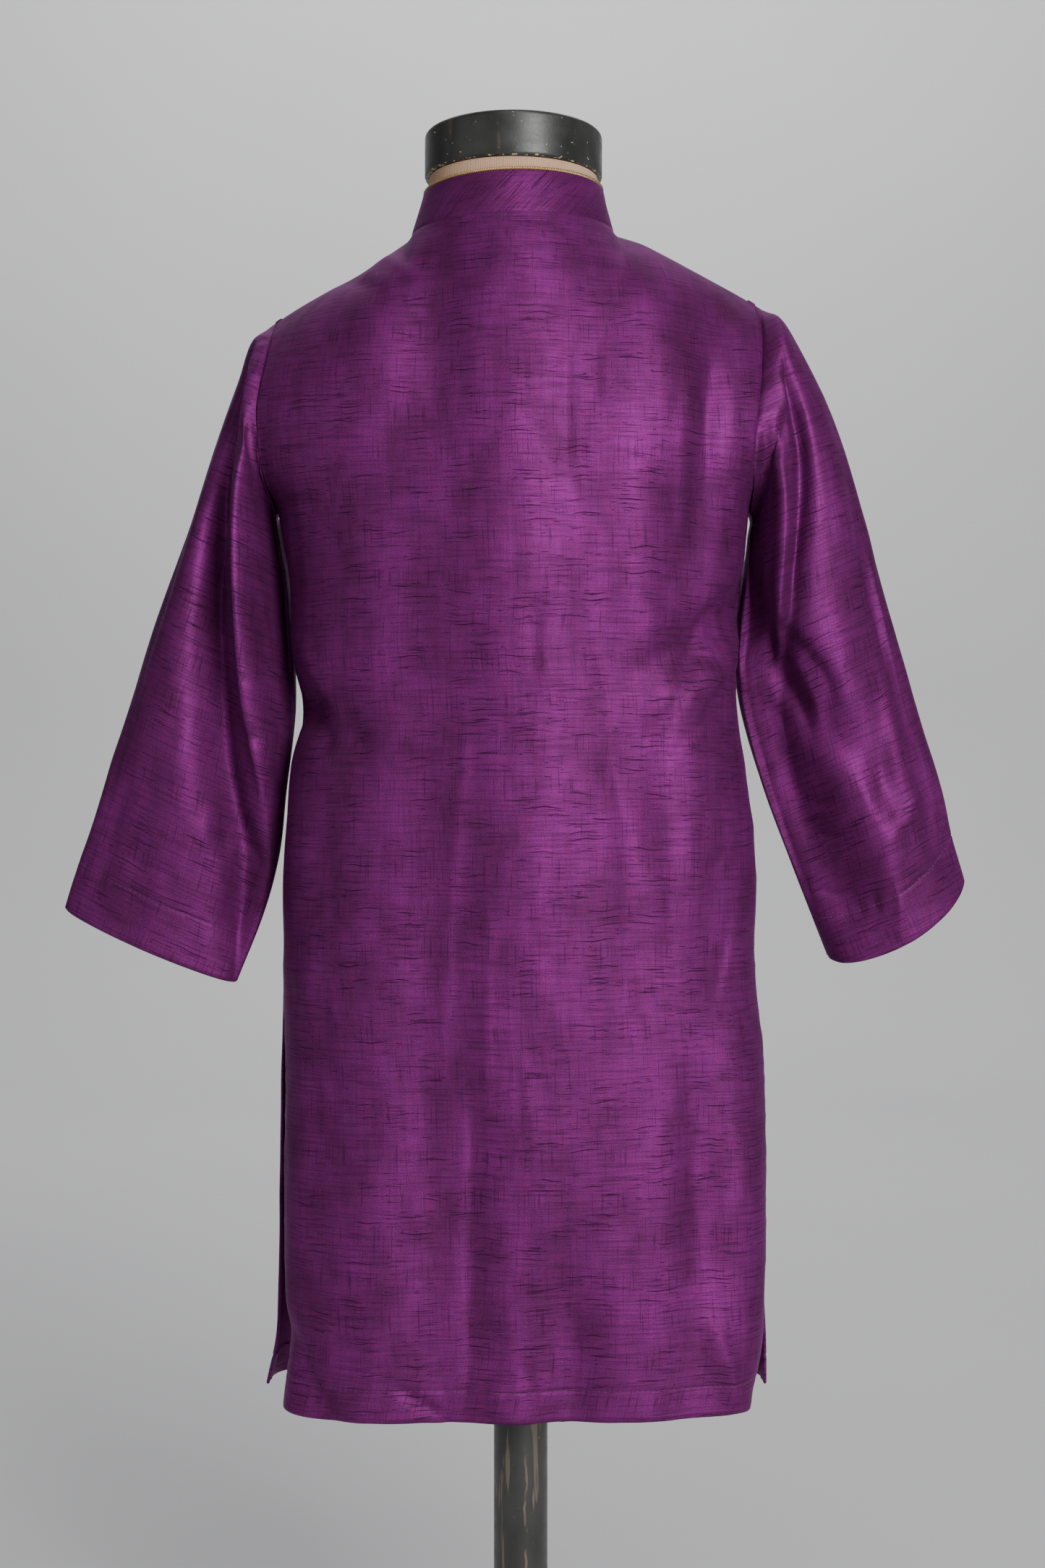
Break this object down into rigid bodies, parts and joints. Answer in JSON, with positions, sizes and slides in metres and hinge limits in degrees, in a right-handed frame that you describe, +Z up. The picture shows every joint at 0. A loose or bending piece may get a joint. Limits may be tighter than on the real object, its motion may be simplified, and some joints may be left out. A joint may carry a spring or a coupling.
{
  "type": "kurta tunic on a dress form stand",
  "caption": "Child's straight-cut raw silk kurta with a band collar, set-in three-quarter sleeves and side slits, worn by a limbless dress form on a pole and round base",
  "frame": {"origin": "the centre of the flat underside of the base, on the floor, on the pole's axis", "axes": "+Z up along the pole; -Y faces the back of the kurta, which the picture shows, and +Y its front; +X is the wearer's right"},
  "size_m": [0.5549, 0.3, 1.0535],
  "materials": {
    "silk": "slubbed raw silk with a soft sheen",
    "gold_piping": "twisted metallic gold cord",
    "button": "polished",
    "jersey": "ribbed jersey",
    "black_wood": "painted black, worn",
    "black_metal": "painted black, chipped"
  },
  "bodies": {
    "root": {"back_panel": "silk", "front_panel": "silk", "sleeve_left": "silk", "sleeve_right": "silk", "collar": "silk", "collar_piping": "gold_piping", "placket_under": "silk", "placket_upper": "silk", "button_1": "button", "button_2": "button", "button_3": "button", "button_4": "button", "form_body": "jersey", "neck_cap": "black_wood", "pole": "black_metal", "base": "black_metal"}
  },
  "joints": []
}
